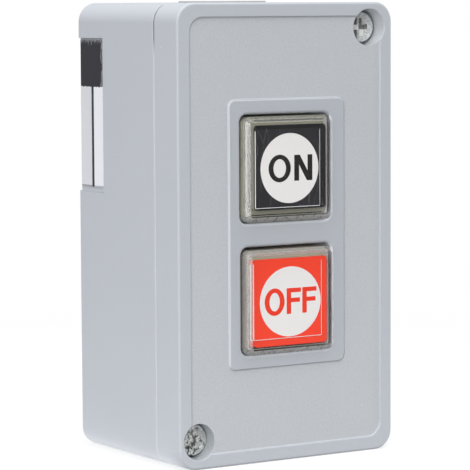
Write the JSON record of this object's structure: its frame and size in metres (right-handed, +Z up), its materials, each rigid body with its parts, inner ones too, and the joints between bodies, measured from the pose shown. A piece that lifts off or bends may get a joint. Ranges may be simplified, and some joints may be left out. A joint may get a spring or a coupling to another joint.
{
  "type": "pushbutton control station",
  "caption": "Surface-mounted control station: square ON and OFF pushbuttons with clear caps in a grey moulded case with a screwed cover.",
  "frame": {"origin": "centre of the case's back face, midway between the two wall holes", "axes": "+X to the right as seen from the front, +Y from the buttons into the wall, +Z up along the case"},
  "size_m": [0.0624, 0.0504, 0.1124],
  "materials": {
    "case_plastic": "light bluish grey moulded plastic, satin, the field of the cover finely grained",
    "seal_rubber": "matt grey rubber",
    "zinc_screws": "bright zinc-plated steel",
    "brass": "plain brass",
    "spring_steel": "drawn spring wire",
    "label": "printed silver film",
    "on_clear_cap": "clear plastic with a faint smoky tint",
    "off_clear_cap": "clear plastic with a faint warm tint",
    "legend_film": "thin printed film",
    "on_plate": "black plastic",
    "off_plate": "orange-red plastic",
    "carrier_plastic": "natural moulded plastic",
    "black_plastic": "black moulded plastic",
    "white_plastic": "white moulded plastic"
  },
  "bodies": {
    "case": {"rear_box": "case_plastic", "front_cover": "case_plastic", "cover_gasket": "seal_rubber", "cover_screws": "zinc_screws", "screw_inserts": "brass", "cable_grommet": "seal_rubber", "rating_label": "label", "on_return_spring": "spring_steel", "on_block_housing": "black_plastic", "on_block_lid": "white_plastic", "on_nc_contacts": "brass", "on_no_contacts": "brass", "on_terminal_washers": "zinc_screws", "on_terminal_screws": "zinc_screws", "on_block_screws": "zinc_screws", "off_return_spring": "spring_steel", "off_block_housing": "black_plastic", "off_block_lid": "white_plastic", "off_nc_contacts": "brass", "off_no_contacts": "brass", "off_terminal_washers": "zinc_screws", "off_terminal_screws": "zinc_screws", "off_block_screws": "zinc_screws"},
    "on_button": {"on_cap": "on_clear_cap", "on_film": "legend_film", "on_plate": "on_plate", "on_carrier": "carrier_plastic", "on_plunger": "white_plastic"},
    "on_bridge": {"on_bridge": "brass", "on_contact_springs": "spring_steel"},
    "off_button": {"off_cap": "off_clear_cap", "off_film": "legend_film", "off_plate": "off_plate", "off_carrier": "carrier_plastic", "off_plunger": "white_plastic"},
    "off_bridge": {"off_bridge": "brass", "off_contact_springs": "spring_steel"}
  },
  "joints": [
    {"name": "on_press", "type": "slide", "parent": "case", "child": "on_button", "axis": [0, 1, 0], "range_m": [0, 0.0035], "stiffness_N_per_m": 800, "springref_m": -0.004, "deforming": ["on_return_spring", "on_contact_springs"]},
    {"name": "on_bridge_slide", "type": "slide", "parent": "case", "child": "on_bridge", "axis": [0, 1, 0], "range_m": [0, 0.00245]},
    {"name": "off_press", "type": "slide", "parent": "case", "child": "off_button", "axis": [0, 1, 0], "range_m": [0, 0.0035], "stiffness_N_per_m": 800, "springref_m": -0.004, "deforming": ["off_return_spring", "off_contact_springs"]},
    {"name": "off_bridge_slide", "type": "slide", "parent": "case", "child": "off_bridge", "axis": [0, 1, 0], "range_m": [0, 0.00245]}
  ],
  "couplings": [
    {"joint": "on_bridge_slide", "follows": "on_press", "ratio": 0.7},
    {"joint": "off_bridge_slide", "follows": "off_press", "ratio": 0.7}
  ]
}
